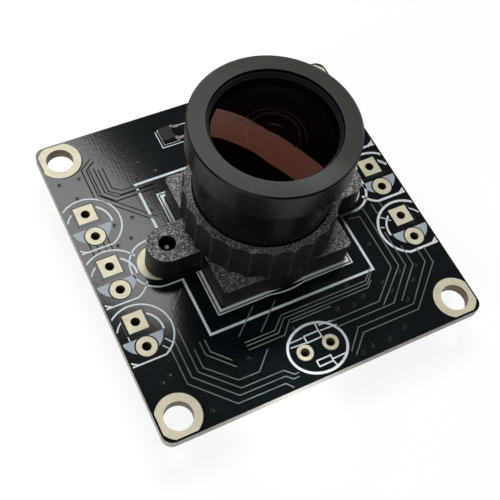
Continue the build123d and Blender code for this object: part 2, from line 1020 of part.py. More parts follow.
nodes = {
    "circuit_board": circuit_board,
    "mounting_pads": mounting_pads,
    "lamp_square_pads": lamp_square_pads,
    "lamp_round_pads": lamp_round_pads,
    "microphone_pads": microphone_pads,
    "ear_pads": ear_pads,
    "silkscreen_outlines": silkscreen_outlines,
    "silkscreen_fills": silkscreen_fills,
    "lens_holder": lens_holder,
    "holder_screws": holder_screws,
    "infrared_filter": infrared_filter,
    "sensor_package": sensor_package,
    "sensor_die": sensor_die,
    "sensor_window": sensor_window,
    "lens_barrel": lens_barrel,
    "front_retainer": front_retainer,
    "front_element": front_element,
    "second_element": second_element,
    "front_spacer": lambda: spacer("front_spacer"),
    "third_element": third_element,
    "middle_spacer": lambda: spacer("middle_spacer"),
    "aperture_stop": aperture_stop,
    "rear_spacer": lambda: spacer("rear_spacer"),
    "crown_element": crown_element,
    "flint_element": flint_element,
    "transistor_body": transistor_body,
    "transistor_leads": transistor_leads,
    "controller_body": controller_body,
    "controller_leads": controller_leads,
    "memory_body": memory_body,
    "memory_leads": memory_leads,
    "regulator_bodies": regulator_bodies,
    "regulator_leads": regulator_leads,
    "crystal_base": crystal_base,
    "crystal_lid": crystal_lid,
    "capacitor_bodies": capacitor_bodies,
    "capacitor_ends": capacitor_ends,
    "resistor_bodies": resistor_bodies,
    "resistor_ends": resistor_ends,
    "bulk_capacitor": bulk_capacitor,
    "bulk_capacitor_tabs": bulk_capacitor_tabs,
    "connector_housing": connector_housing,
    "connector_pins": connector_pins,
    "connector_tabs": connector_tabs,
}

for name, make in nodes.items():
    made = make()
    shapes = made if isinstance(made, list) else [made]
    solids = [solid for shape in shapes for solid in shape.solids()]
    export_step(Compound(solids) if len(solids) > 1 else solids[0], f"parts/{name}.step")
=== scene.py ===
import json
import math

import bmesh
import bpy
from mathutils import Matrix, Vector


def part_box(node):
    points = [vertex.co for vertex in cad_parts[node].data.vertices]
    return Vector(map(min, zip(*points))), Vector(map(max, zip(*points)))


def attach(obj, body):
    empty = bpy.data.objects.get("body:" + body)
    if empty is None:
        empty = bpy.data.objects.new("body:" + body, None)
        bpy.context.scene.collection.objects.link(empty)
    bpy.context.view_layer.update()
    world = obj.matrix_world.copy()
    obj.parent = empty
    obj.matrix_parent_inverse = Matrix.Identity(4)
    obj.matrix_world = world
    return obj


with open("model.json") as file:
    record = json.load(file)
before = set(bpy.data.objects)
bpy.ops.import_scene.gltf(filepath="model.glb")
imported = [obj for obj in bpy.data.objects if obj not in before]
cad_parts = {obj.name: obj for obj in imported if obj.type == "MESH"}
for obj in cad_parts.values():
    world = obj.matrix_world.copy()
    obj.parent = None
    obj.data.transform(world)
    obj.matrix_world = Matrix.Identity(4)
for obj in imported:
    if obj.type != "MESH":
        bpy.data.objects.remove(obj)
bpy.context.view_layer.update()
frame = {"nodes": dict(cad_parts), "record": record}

# The looks of a small board camera. Lengths are millimetres in this script and metres in the scene.
# X and Y run along the board's sides from its middle, and +Z is the optical axis.
MM = 0.001
nodes = frame["nodes"]


def box_mm(node):
    """The lowest and highest corner of a CAD node in millimetres."""
    low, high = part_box(node)
    return low / MM, high / MM


board_low, board_high = box_mm("circuit_board")
board_top = board_high.z
board_side = board_high.x - board_low.x
part_low = min(box_mm(name)[0].z for name in nodes)
mask_margin = 0.02
mask_half = board_side / 2 - mask_margin
mask_thickness = 0.018
mask_top = board_top + mask_thickness
piece_low = mask_top - 0.01  # pieces on the mask start a little inside it
dark_high = mask_top + 0.004  # painted shade round pads, along broad routes and in vias, and dark lines, stand this high to be seen
mount = frame["record"]["mounts"][0]["dims"]
mounting_half = mount["spacing_x_mm"] / 2
mounting_hole_radius = mount["hole_r_mm"]


def solids_of(node):
    """The lowest and highest corner in millimetres of each solid of a CAD node, in order of X and Y."""
    work = bmesh.new()
    work.from_mesh(nodes[node].data)
    bmesh.ops.remove_doubles(work, verts=work.verts, dist=0.001 * MM)
    waiting, found = set(work.verts), []
    while waiting:
        edge = [waiting.pop()]
        low, high = edge[0].co.copy(), edge[0].co.copy()
        while edge:
            vert = edge.pop()
            for axis in range(3):
                low[axis] = min(low[axis], vert.co[axis])
                high[axis] = max(high[axis], vert.co[axis])
            for link in vert.link_edges:
                other = link.other_vert(vert)
                if other in waiting:
                    waiting.remove(other)
                    edge.append(other)
        found.append((low / MM, high / MM))
    work.free()
    return sorted(found, key=lambda pair: (round(pair[0].x, 2), round(pair[0].y, 2)))


def middle_of(pair):
    """The middle between a lowest and a highest corner."""
    return (pair[0] + pair[1]) / 2


def arc(x, y, radius, start, sweep, steps=24):
    """Points of an arc, in degrees from +X."""
    angles = [math.radians(start + sweep * step / steps) for step in range(steps + 1)]
    return [(x + radius * math.cos(angle), y + radius * math.sin(angle)) for angle in angles]


def circle(x, y, radius, steps=48):
    """Points of a closed circle, with the first point given once."""
    return arc(x, y, radius, 0, 360, steps)[:-1]


# Camera

camera_place = (-26.509, -35.703, 72.535)
camera_turn = (29.893, -6.049, -26.311)
camera_lens = 64.116
camera_sensor = 36.0


def make_camera():
    """The camera at the photograph's viewing angle."""
    data = bpy.data.cameras.new("camera")
    data.sensor_width = camera_sensor
    data.lens = camera_lens
    data.clip_start = 1 * MM
    data.clip_end = 5000 * MM
    camera = bpy.data.objects.new("camera", data)
    camera.location = Vector(camera_place) * MM
    camera.rotation_euler = [math.radians(angle) for angle in camera_turn]
    bpy.context.scene.collection.objects.link(camera)
    bpy.context.scene.camera = camera


# Node materials


class Look:
    """A procedural material. Coordinates inside it are millimetres in the object's own space."""

    def __init__(self, name, **sockets):
        self.material = bpy.data.materials.new(name)
        self.material.use_nodes = True
        self.tree = self.material.node_tree
        self.shader = self.tree.nodes["Principled BSDF"]
        for socket, value in sockets.items():
            self.shader.inputs[socket.replace("_", " ")].default_value = value
        place = self.tree.nodes.new("ShaderNodeTexCoord")
        scale = self.tree.nodes.new("ShaderNodeVectorMath")
        scale.operation = "SCALE"
        scale.inputs["Scale"].default_value = 1 / MM
        self.link(place.outputs["Object"], scale.inputs[0])
        self.place = scale.outputs[0]

    def link(self, source, target):
        self.tree.links.new(source, target)

    def stretched(self, factors):
        """The place with each axis multiplied by its own factor."""
        node = self.tree.nodes.new("ShaderNodeVectorMath")
        node.operation = "MULTIPLY"
        node.inputs[1].default_value = factors
        self.link(self.place, node.inputs[0])
        return node.outputs[0]

    def noise(self, scale, detail=3.0, roughness=0.55, place=None):
        """Noise with this many cells in a millimetre."""
        node = self.tree.nodes.new("ShaderNodeTexNoise")
        node.inputs["Scale"].default_value = scale
        node.inputs["Detail"].default_value = detail
        node.inputs["Roughness"].default_value = roughness
        self.link(place or self.place, node.inputs["Vector"])
        return node.outputs["Fac"]

    def cells(self, scale, place=None):
        """The distance to the nearest of scattered points, this many in a millimetre."""
        node = self.tree.nodes.new("ShaderNodeTexVoronoi")
        node.inputs["Scale"].default_value = scale
        self.link(place or self.place, node.inputs["Vector"])
        return node.outputs["Distance"]

    def waves(self, scale, axis, distortion=0.0):
        """Bands across an axis."""
        node = self.tree.nodes.new("ShaderNodeTexWave")
        node.bands_direction = axis
        node.inputs["Scale"].default_value = scale
        node.inputs["Distortion"].default_value = distortion
        self.link(self.place, node.inputs["Vector"])
        return node.outputs["Fac"]

    def ramp(self, value, *stops):
        """A colour for a value, from (position, colour) stops. One number as a colour is a grey."""
        node = self.tree.nodes.new("ShaderNodeValToRGB")
        band = node.color_ramp
        while len(band.elements) < len(stops):
            band.elements.new(1.0)
        for element, (position, colour) in zip(band.elements, stops):
            element.position = position
            rgb = (colour,) * 3 if isinstance(colour, (int, float)) else colour
            element.color = (*rgb, 1.0)
        self.link(value, node.inputs["Fac"])
        return node.outputs["Color"]

    def mix(self, factor, first, second, blend="MIX"):
        """Two colours mixed by a factor."""
        node = self.tree.nodes.new("ShaderNodeMix")
        node.data_type = "RGBA"
        node.blend_type = blend
        for socket, value in ((node.inputs[0], factor), (node.inputs[6], first), (node.inputs[7], second)):
            if isinstance(value, bpy.types.NodeSocket):
                self.link(value, socket)
            else:
                socket.default_value = value
        return node.outputs[2]

    def math(self, operation, first, second=0.0):
        """The result of an operation on two values."""
        node = self.tree.nodes.new("ShaderNodeMath")
        node.operation = operation
        for socket, value in zip(node.inputs, (first, second)):
            if isinstance(value, bpy.types.NodeSocket):
                self.link(value, socket)
            else:
                socket.default_value = value
        return node.outputs[0]

    def axis(self, letter):
        """One coordinate of the place in millimetres."""
        node = self.tree.nodes.new("ShaderNodeSeparateXYZ")
        self.link(self.place, node.inputs[0])
        return node.outputs[letter]

    def from_axis(self, reach):
        """The distance from the optical axis, as a share of a reach in millimetres."""
        node = self.tree.nodes.new("ShaderNodeVectorMath")
        node.operation = "LENGTH"
        self.link(self.stretched((1 / reach, 1 / reach, 0.0)), node.inputs[0])
        return node.outputs["Value"]

    def gloss(self, factor, low, high):
        """Mixes two levels of gloss by a factor."""
        self.link(self.ramp(factor, (0.0, low), (1.0, high)), self.shader.inputs["Specular IOR Level"])

    def facing_up(self):
        """How far a surface faces up, from -1 to 1, in the object's own space."""
        geometry = self.tree.nodes.new("ShaderNodeNewGeometry")
        turned = self.tree.nodes.new("ShaderNodeVectorTransform")
        turned.vector_type = "NORMAL"
        turned.convert_from = "WORLD"
        turned.convert_to = "OBJECT"
        self.link(geometry.outputs["Normal"], turned.inputs[0])
        split = self.tree.nodes.new("ShaderNodeSeparateXYZ")
        self.link(turned.outputs[0], split.inputs[0])
        return split.outputs["Z"]

    def upper_faces(self):
        """1 on faces that look up, and 0 on steeper ones."""
        return self.ramp(self.facing_up(), (0.80, 0.0), (0.97, 1.0))

    def edges(self, radius):
        """How sharply the surface bends within a radius in millimetres, from 0 on a flat to 1 on an edge."""
        bevel = self.tree.nodes.new("ShaderNodeBevel")
        bevel.samples = 6
        bevel.inputs["Radius"].default_value = radius * MM
        geometry = self.tree.nodes.new("ShaderNodeNewGeometry")
        across = self.tree.nodes.new("ShaderNodeVectorMath")
        across.operation = "DOT_PRODUCT"
        self.link(bevel.outputs[0], across.inputs[0])
        self.link(geometry.outputs["Normal"], across.inputs[1])
        return self.ramp(across.outputs["Value"], (0.86, 1.0), (0.985, 0.0))

    def painted_edge_highlights(self, body, radius, tone):
        """A body colour with a painted highlight added along its sharp edges."""
        edge = self.mix(self.edges(radius), (0, 0, 0, 1), (*tone, 1))
        return self.mix(1.0, body, edge, "ADD")

    def colour(self, source):
        self.link(source, self.shader.inputs["Base Color"])

    def rough(self, source):
        self.link(source, self.shader.inputs["Roughness"])

    def bump(self, height, depth, strength=1.0):
        """Bump whose height of 1 stands this many millimetres proud."""
        node = self.tree.nodes.new("ShaderNodeBump")
        node.inputs["Distance"].default_value = depth * MM
        node.inputs["Strength"].default_value = strength
        self.link(height, node.inputs["Height"])
        self.link(node.outputs["Normal"], self.shader.inputs["Normal"])


def mask_look(name, dark, light):
    """Glossy solder mask with a faint ripple and weave."""
    look = Look(name, IOR=1.52, Specular_IOR_Level=1.0)
    cloud = look.noise(0.35, 4)
    look.colour(look.ramp(cloud, (0.3, dark), (0.7, light)))
    grain = look.noise(9.0, 3)
    look.rough(look.ramp(grain, (0.3, 0.11), (0.7, 0.17)))
    weave = look.math("ADD", look.waves(0.9, "X", 0.6), look.waves(0.9, "Y", 0.6))
    ripple = look.math("ADD", look.noise(2.6, 2), look.math("MULTIPLY", weave, 0.15))
    look.bump(ripple, 0.007, 0.5)
    return look.material


def laminate_look():
    """Glass-fibre board, with the layers that show on its cut edge."""
    look = Look("glass_laminate", IOR=1.5)
    layers = look.waves(2.6, "Z", 1.5)
    fibre = look.noise(1.0, 4, place=look.stretched((5.0, 5.0, 26.0)))
    blend = look.math("ADD", look.math("MULTIPLY", layers, 0.35), look.math("MULTIPLY", fibre, 0.75))
    dark, middle, light = (0.16, 0.15, 0.11), (0.36, 0.35, 0.29), (0.56, 0.55, 0.49)
    look.colour(look.ramp(blend, (0.25, dark), (0.55, middle), (0.85, light)))
    look.rough(look.ramp(fibre, (0.3, 0.45), (0.7, 0.7)))
    look.bump(blend, 0.03)
    return look.material


def gold_look(name, tone, wall):
    """Pale plating, with painted shade as a darker tone on the walls of its holes."""
    look = Look(name, Metallic=0.3)
    wash = look.noise(1.3, 3)
    speckle = look.noise(16.0, 3, 0.7)
    # Painted shade: walls of holes, which face sideways, take the much darker wall tone.
    level = look.ramp(look.math("ABSOLUTE", look.facing_up()), (0.3, 0.0), (0.7, 1.0))
    blotch = look.math("ADD", look.math("MULTIPLY", wash, 0.5), look.math("MULTIPLY", speckle, 0.5))
    face = look.ramp(blotch, (0.35, [0.82 * c for c in tone]), (0.6, tone))
    inside = look.ramp(wash, (0.3, [0.6 * c for c in wall]), (0.7, wall))
    look.colour(look.mix(level, inside, face))
    look.rough(look.ramp(speckle, (0.3, 0.42), (0.7, 0.56)))
    look.bump(speckle, 0.006)
    return look.material


def ink_look(name, dark, light):
    look = Look(name, IOR=1.45, Specular_IOR_Level=0.6)
    speck = look.noise(11.0, 4)
    look.colour(look.ramp(speck, (0.25, dark), (0.6, light)))
    look.rough(look.ramp(speck, (0.3, 0.45), (0.7, 0.65)))
    look.bump(speck, 0.006)
    return look.material


def moulding_look():
    """Sand-blasted moulding, with painted glints and light over grey on faces that look up, and painted
    shade that makes its sides near black.
    """
    look = Look("holder_moulding", IOR=1.5)
    blast = look.noise(9.0, 3, 0.7)
    pits = look.cells(8.0)
    up = look.upper_faces()
    # Painted light and shade: the top's grey with bright glints and the near-black sides are lit and shaded
    # copies of one plastic.
    hollow, grey, painted_glint = (0.006, 0.007, 0.008), (0.12, 0.125, 0.125), (0.62, 0.63, 0.62)
    top = look.ramp(blast, (0.43, hollow), (0.54, grey), (0.64, painted_glint))
    side = look.ramp(blast, (0.35, (0.0012, 0.0025, 0.0035)), (0.75, (0.004, 0.006, 0.0075)))
    look.gloss(up, 0.28, 0.5)
    look.colour(look.painted_edge_highlights(look.mix(up, side, top), 0.09, (0.12, 0.13, 0.13)))
    look.rough(look.ramp(blast, (0.3, 0.30), (0.7, 0.48)))
    look.bump(look.math("ADD", blast, look.math("MULTIPLY", pits, 0.4)), 0.045)
    return look.material


def anodised_look():
    """Black anodised metal with fine turning marks. Faces that look up are painted lighter than the sides,
    as painted light and shade.
    """
    look = Look("black_anodised", IOR=1.5)
    turning = look.noise(1.0, 3, place=look.stretched((0.7, 0.7, 40.0)))
    grain = look.noise(26.0, 2)
    up = look.upper_faces()
    # Painted light and shade: the same metal is near black on its sides and lighter on faces that look up.
    side = look.ramp(turning, (0.3, (0.0015, 0.002, 0.002)), (0.7, (0.0035, 0.0045, 0.0045)))
    face = look.ramp(grain, (0.3, (0.026, 0.028, 0.024)), (0.7, (0.048, 0.051, 0.045)))
    look.gloss(up, 0.16, 0.32)
    look.colour(look.painted_edge_highlights(look.mix(up, side, face), 0.07, (0.07, 0.07, 0.065)))
    side_rough = look.ramp(grain, (0.3, 0.20), (0.7, 0.26))
    face_rough = look.ramp(grain, (0.3, 0.36), (0.7, 0.48))
    look.rough(look.mix(up, side_rough, face_rough))
    look.bump(look.math("ADD", turning, look.math("MULTIPLY", grain, 0.3)), 0.003)
    return look.material


clear_glass_radius = 2.8
glass_reach = 6.0  # distances on the glass are shares of this


def coated_glass_look():
    """Coated glass, with painted shade making it dark outside the radius of its hollow back."""
    look = Look(
        "coated_glass",
        IOR=1.52,
        Specular_IOR_Level=0.5,
        Specular_Tint=(0.62, 0.205, 0.128, 1.0),
        Transmission_Weight=1.0,
    )
    haze = look.noise(0.6, 3)
    clear = look.ramp(haze, (0.3, (0.40, 0.39, 0.40)), (0.7, (0.47, 0.46, 0.47)))
    # Painted shade: near-black base colour outside the clear radius, where the view through the glass is
    # dark.
    painted_rim_shade = look.ramp(haze, (0.3, 0.0003), (0.7, 0.0006))
    start = clear_glass_radius / glass_reach
    outward = look.ramp(look.from_axis(glass_reach), (start, 0.0), (start + 0.01, 1.0))
    look.colour(look.mix(outward, clear, painted_rim_shade))
    look.rough(look.ramp(haze, (0.4, 0.0), (0.9, 0.02)))
    return look.material


def dull_black_look():
    look = Look("dull_black", Specular_IOR_Level=0.25)
    grain = look.noise(16.0, 3)
    look.colour(look.ramp(grain, (0.3, (0.004, 0.004, 0.004)), (0.7, (0.012, 0.012, 0.012))))
    look.rough(look.ramp(grain, (0.3, 0.5), (0.7, 0.7)))
    look.bump(grain, 0.01)
    return look.material


def package_look(name, dark, light):
    look = Look(name, IOR=1.5)
    grain = look.noise(14.0, 4, 0.65)
    look.colour(look.ramp(grain, (0.3, dark), (0.7, light)))
    look.rough(look.ramp(grain, (0.3, 0.5), (0.7, 0.7)))
    look.bump(grain, 0.012)
    return look.material


def metal_look(name, dark, light, low_rough=0.25, high_rough=0.45):
    look = Look(name, Metallic=1.0)
    grain = look.noise(12.0, 4)
    look.colour(look.ramp(grain, (0.3, dark), (0.7, light)))
    look.rough(look.ramp(grain, (0.3, low_rough), (0.7, high_rough)))
    look.bump(grain, 0.006)
    return look.material


def clear_look(name, tone, specular):
    look = Look(name, IOR=1.5, Transmission_Weight=1.0, Specular_IOR_Level=specular)
    haze = look.noise(0.8, 3)
    look.colour(look.ramp(haze, (0.3, [0.95 * c for c in tone]), (0.7, tone)))
    look.rough(look.ramp(haze, (0.4, 0.0), (0.9, 0.03)))
    return look.material


def silicon_look():
    look = Look("sensor_silicon", Metallic=0.6)
    rows = look.math("ADD", look.waves(22.0, "X"), look.waves(22.0, "Y"))
    look.colour(look.ramp(rows, (0.4, (0.05, 0.06, 0.10)), (0.9, (0.12, 0.10, 0.14))))
    look.rough(look.ramp(rows, (0.2, 0.2), (0.8, 0.35)))
    return look.material


def paint_nodes():
    """Gives every CAD node its material."""
    # the second tone is painted shade for the walls of the holes
    gold = gold_look("plated_gold", (0.77, 0.72, 0.53), (0.13, 0.095, 0.045))
    ink = ink_look("printed_ink", (0.44, 0.48, 0.50), (0.60, 0.65, 0.68))
    field_ink = ink_look("printed_field", (0.24, 0.28, 0.31), (0.34, 0.39, 0.42))
    anodised = anodised_look()
    black = dull_black_look()
    coated = coated_glass_look()
    clear = clear_look("clear_glass", (0.96, 0.97, 0.97), 0.01)
    chip = package_look("chip_moulding", (0.010, 0.010, 0.011), (0.026, 0.026, 0.028))
    tin = metal_look("tinned", (0.60, 0.60, 0.61), (0.78, 0.78, 0.78))
    ceramic = package_look("fired_ceramic", (0.12, 0.10, 0.085), (0.20, 0.17, 0.14))
    looks = {
        laminate_look(): ["circuit_board"],
        gold: ["mounting_pads", "lamp_square_pads", "lamp_round_pads", "microphone_pads", "ear_pads"],
        ink: ["silkscreen_outlines"],
        field_ink: ["silkscreen_fills"],
        moulding_look(): ["lens_holder"],
        metal_look("zinc_plated", (0.16, 0.16, 0.17), (0.34, 0.34, 0.35), 0.35, 0.55): ["holder_screws"],
        clear_look("filter_glass", (0.62, 0.86, 0.90), 0.3): ["infrared_filter"],
        ceramic: ["sensor_package", "crystal_base"],
        silicon_look(): ["sensor_die"],
        clear: ["sensor_window", "second_element", "third_element", "crown_element", "flint_element"],
        coated: ["front_element"],
        anodised: ["lens_barrel"],
        black: ["front_retainer", "front_spacer", "middle_spacer", "rear_spacer", "aperture_stop"],
        chip: ["transistor_body", "controller_body", "memory_body", "regulator_bodies", "resistor_bodies"],
        tin: [
            "transistor_leads",
            "controller_leads",
            "memory_leads",
            "regulator_leads",
            "capacitor_ends",
            "resistor_ends",
            "bulk_capacitor_tabs",
            "connector_pins",
            "connector_tabs",
        ],
        metal_look("can_metal", (0.58, 0.56, 0.52), (0.72, 0.70, 0.66)): ["crystal_lid"],
        package_look("capacitor_ceramic", (0.30, 0.19, 0.11), (0.42, 0.29, 0.18)): ["capacitor_bodies"],
        package_look("bulk_moulding", (0.58, 0.38, 0.08), (0.72, 0.50, 0.13)): ["bulk_capacitor"],
        package_look("natural_nylon", (0.60, 0.57, 0.47), (0.74, 0.72, 0.62)): ["connector_housing"],
    }
    for material, names in looks.items():
        for name in names:
            data = nodes[name].data
            data.materials.clear()
            data.materials.append(material)
    return {
        "mask": mask_look("solder_mask", (0.0010, 0.0028, 0.0036), (0.0026, 0.0056, 0.0068)),
        # Painted highlight: mask over the fine routes is far paler than the mask, standing in for light
        # along their edges.
        "covered": mask_look("mask_over_copper_highlight", (0.085, 0.098, 0.098), (0.18, 0.20, 0.198)),
        "ink": ink,
        "tin": tin,
        "black": black,
        "ring_reflection": package_look("painted_reflection_rings", (0.45, 0.41, 0.41), (0.72, 0.66, 0.66)),
    }


# Floor, backdrop and light

floor_radius = 1500
wall_height = 500
floor_steps = 64
floor_tone = (0.93, 0.93, 0.93, 1)
floor_rough = 0.9
floor_white_share = 0.88
world_strength = 0.05


def studio_look():
    """White to the camera and in gloss and glass, with a faint shadow, and plain and pale to the light."""
    material = bpy.data.materials.new("white_studio")
    material.use_nodes = True
    tree = material.node_tree
    shader = tree.nodes["Principled BSDF"]
    shader.inputs["Base Color"].default_value = floor_tone
    shader.inputs["Roughness"].default_value = floor_rough
    shader.inputs["Specular IOR Level"].default_value = 0.0
    rays = tree.nodes.new("ShaderNodeLightPath")
    white = tree.nodes.new("ShaderNodeEmission")
    share = tree.nodes.new("ShaderNodeMath")
    share.operation = "MULTIPLY"
    share.inputs[1].default_value = floor_white_share
    tree.links.new(rays.outputs["Is Camera Ray"], share.inputs[0])
    level = share.outputs[0]
    for kind in ("Is Glossy Ray", "Is Transmission Ray"):
        more = tree.nodes.new("ShaderNodeMath")
        more.operation = "MAXIMUM"
        tree.links.new(level, more.inputs[0])
        tree.links.new(rays.outputs[kind], more.inputs[1])
        level = more.outputs[0]
    seen = tree.nodes.new("ShaderNodeMixShader")
    tree.links.new(level, seen.inputs[0])
    tree.links.new(shader.outputs[0], seen.inputs[1])
    tree.links.new(white.outputs[0], seen.inputs[2])
    tree.links.new(seen.outputs[0], tree.nodes["Material Output"].inputs[0])
    return material


def make_studio():
    """A round floor under the part with a low wall round it."""
    work = bmesh.new()
    foot, rim = [], []
    for x, y in circle(0, 0, floor_radius, steps=floor_steps):
        foot.append(work.verts.new(Vector((x, y, part_low)) * MM))
        rim.append(work.verts.new(Vector((x, y, part_low + wall_height)) * MM))
    work.faces.new(foot)
    for index in range(len(foot)):
        turn = (index + 1) % len(foot)
        work.faces.new((foot[index], foot[turn], rim[turn], rim[index]))
    data = bpy.data.meshes.new("studio")
    work.to_mesh(data)
    work.free()
    studio = bpy.data.objects.new("studio", data)
    bpy.context.scene.collection.objects.link(studio)
    data.materials.append(studio_look())


def make_world():
    """A weak white light from all round."""
    world = bpy.data.worlds.new("studio")
    bpy.context.scene.world = world
    world.use_nodes = True
    background = world.node_tree.nodes["Background"]
    background.inputs["Color"].default_value = (1.0, 1.0, 1.0, 1)
    background.inputs["Strength"].default_value = world_strength


def make_card(name, corners, faces, strength, tint=(1, 1, 1)):
    """A bright card of one or more faces, seen in gloss alone. Its corners are millimetres."""
    data = bpy.data.meshes.new(name)
    data.from_pydata([Vector(corner) * MM for corner in corners], [], faces)
    card = bpy.data.objects.new(name, data)
    bpy.context.scene.collection.objects.link(card)
    material = bpy.data.materials.new(name)
    material.use_nodes = True
    tree = material.node_tree
    glow = tree.nodes.new("ShaderNodeEmission")
    glow.inputs["Color"].default_value = (*tint, 1)
    glow.inputs["Strength"].default_value = strength
    tree.links.new(glow.outputs[0], tree.nodes["Material Output"].inputs[0])
    data.materials.append(material)
    card.visible_camera = False
    card.visible_diffuse = False
    card.visible_transmission = False
    card.visible_shadow = False


def make_lamp(name, place, aim, size, power, spread):
    """A soft lamp that isn't seen in gloss or glass. Lengths are millimetres and the spread is degrees."""
    data = bpy.data.lights.new(name, "AREA")
    data.shape = "DISK"
    data.size = size * MM
    data.energy = power
    data.spread = math.radians(spread)
    lamp = bpy.data.objects.new(name, data)
    lamp.location = Vector(place) * MM
    lamp.rotation_euler = (Vector(aim) - Vector(place)).to_track_quat("-Z", "Y").to_euler()
    lamp.visible_glossy = False
    lamp.visible_transmission = False
    bpy.context.scene.collection.objects.link(lamp)


# The strip light's two edges, from its far end down to the one just over the lens
strip_far_edge = [
    (-1.4, 125, 92), (0.6, 94.7, 78), (3.1, 59, 62), (5.1, 26.5, 46), (3.3, 6.9, 30), (2.1, 1.2, 23),
    (2.2, -1.0, 21), (3.0, -3.3, 19.8), (4.2, -5.1, 19.3), (4.6, -5.7, 19.15),
]
strip_near_edge = [
    (-25, 68, 82), (-15.2, 47.2, 70), (-9.2, 29.4, 58), (-4.7, 14.8, 45), (-1.7, 2.5, 30), (-1.3, -1.8, 23),
    (-0.9, -3.2, 21), (-0.2, -4.6, 19.8), (0.4, -5.5, 19.3), (0.6, -6.0, 19.15),
]
strip_strength = 2.4

# The low card stands towards -X and -Y, and the warm side card towards +X and +Y
low_card = [(-330, -60, 150), (-180, -300, 130), (-180, -300, 220), (-330, -60, 240)]
low_card_strength = 2.0
side_card = [(150, 60, -5), (190, 160, -5), (190, 160, 60), (150, 60, 60)]
side_card_strength = 2.2
side_card_tint = (1.0, 0.96, 0.88)

# Each lamp's name, place, aim, size, power in watts, and spread
lamps = [
    ("key", (60, 160, 300), (0, 0, 5), 200, 1.2, 180),
    ("fill", (-110, -50, 80), (-8, -4, 0), 60, 0.09, 180),
    ("front_fill", (-4, -62, 46), (-4, -17.5, 1), 8, 0.00045, 9),
]


def light_scene():
    """The curved strip over the lens shows as a band in the glass and as sheen on the board's left."""
    make_studio()
    make_world()
    count = len(strip_near_edge)
    strip_faces = [(n, n + 1, count + n + 1, count + n) for n in range(count - 1)]
    make_card("strip_light", strip_near_edge + strip_far_edge, strip_faces, strip_strength)
    make_card("low_card", low_card, [(0, 1, 2, 3)], low_card_strength)
    make_card("side_card", side_card, [(0, 1, 2, 3)], side_card_strength, side_card_tint)
    for lamp in lamps:
        make_lamp(*lamp)


# Pieces


def piece(name, work, material, body="board"):
    """Turns a bmesh in metres into a piece that rides on a body."""
    bmesh.ops.recalc_face_normals(work, faces=work.faces)
    data = bpy.data.meshes.new(name)
    work.to_mesh(data)
    work.free()
    made = bpy.data.objects.new(name, data)
    bpy.context.scene.collection.objects.link(made)
    data.materials.append(material)
    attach(made, body)


sharpest_bend = 0.4  # keeps the outer point of a sharp corner from running far out


def ribbon(work, points, width, low, high, slope=0.0):
    """A raised strip along points in millimetres. A slope makes it wider at its foot."""
    route = [Vector(point[:2]) for point in points]
    rows = []
    for index, point in enumerate(route):
        before = (point - route[index - 1]).normalized() if index else None
        after = (route[index + 1] - point).normalized() if index + 1 < len(route) else None
        ahead = (before or after) + (after or before)
        ahead.normalize()
        side = Vector((-ahead.y, ahead.x))
        reach = width / 2 / max(sharpest_bend, ahead.dot(before or after))
        row = []
        for offset, height in ((reach + slope, low), (reach, high), (-reach, high), (-reach - slope, low)):
            place = point + side * offset
            row.append(work.verts.new(Vector((place.x, place.y, height)) * MM))
        rows.append(row)
    for row, following in zip(rows, rows[1:]):
        for index in range(4):
            turn = (index + 1) % 4
            work.faces.new((row[index], following[index], following[turn], row[turn]))
    work.faces.new(rows[0])
    work.faces.new(list(reversed(rows[-1])))


def turned(work, x, y, profile, steps=32):
    """A closed ring from a closed profile of (radius, height) points in millimetres."""
    rows = []
    for step in range(steps):
        angle = 2 * math.pi * step / steps
        rows.append(
            [
                work.verts.new(Vector((x + r * math.cos(angle), y + r * math.sin(angle), z)) * MM)
                for r, z in profile
            ]
        )
    for row, following in zip(rows, rows[1:] + rows[:1]):
        for index in range(len(profile)):
            turn = (index + 1) % len(profile)
            work.faces.new((row[index], following[index], following[turn], row[turn]))


def flat_sheet(name, outline, holes, low, high, material):
    """A flat sheet with holes, from outlines in millimetres."""
    curve = bpy.data.curves.new(name, "CURVE")
    curve.dimensions = "2D"
    curve.fill_mode = "BOTH"
    curve.extrude = (high - low) / 2 * MM
    for loop in [outline, *holes]:
        spline = curve.splines.new("POLY")
        spline.points.add(len(loop) - 1)
        for point, (x, y) in zip(spline.points, loop):
            point.co = (x * MM, y * MM, 0, 1)
        spline.use_cyclic_u = True
    carrier = bpy.data.objects.new(name, curve)
    bpy.context.scene.collection.objects.link(carrier)
    bpy.context.view_layer.update()
    data = bpy.data.meshes.new_from_object(carrier)
    bpy.data.objects.remove(carrier)
    bpy.data.curves.remove(curve)
    work = bmesh.new()
    work.from_mesh(data)
    bpy.data.meshes.remove(data)
    bmesh.ops.remove_doubles(work, verts=work.verts, dist=0.0001 * MM)
    bmesh.ops.translate(work, verts=work.verts, vec=(0, 0, (low + high) / 2 * MM))
    piece(name, work, material)


def rounded_square(half, corner, steps=6):
    """The outline of a square with round corners."""
    points = []
    for quarter, (sx, sy) in enumerate(((1, 1), (-1, 1), (-1, -1), (1, -1))):
        centre = (sx * (half - corner), sy * (half - corner))
        points += arc(*centre, corner, 90 * quarter, 90, steps)
    return points


board_corner = 1.0
lead_drill_radius = 0.43
drill_clearance = 0.05


def drilled_holes():
    """The outline of every hole for a screw, and of every hole for a lamp or microphone lead."""
    places = [(x, y) for x in (-mounting_half, mounting_half) for y in (-mounting_half, mounting_half)]
    mounting = [circle(x, y, mounting_hole_radius + drill_clearance) for x, y in places]
    leads = []
    for node in ("lamp_square_pads", "lamp_round_pads", "microphone_pads"):
        for pair in solids_of(node):
            centre = middle_of(pair)
            leads.append(circle(centre.x, centre.y, lead_drill_radius + drill_clearance, steps=24))
    return mounting, leads


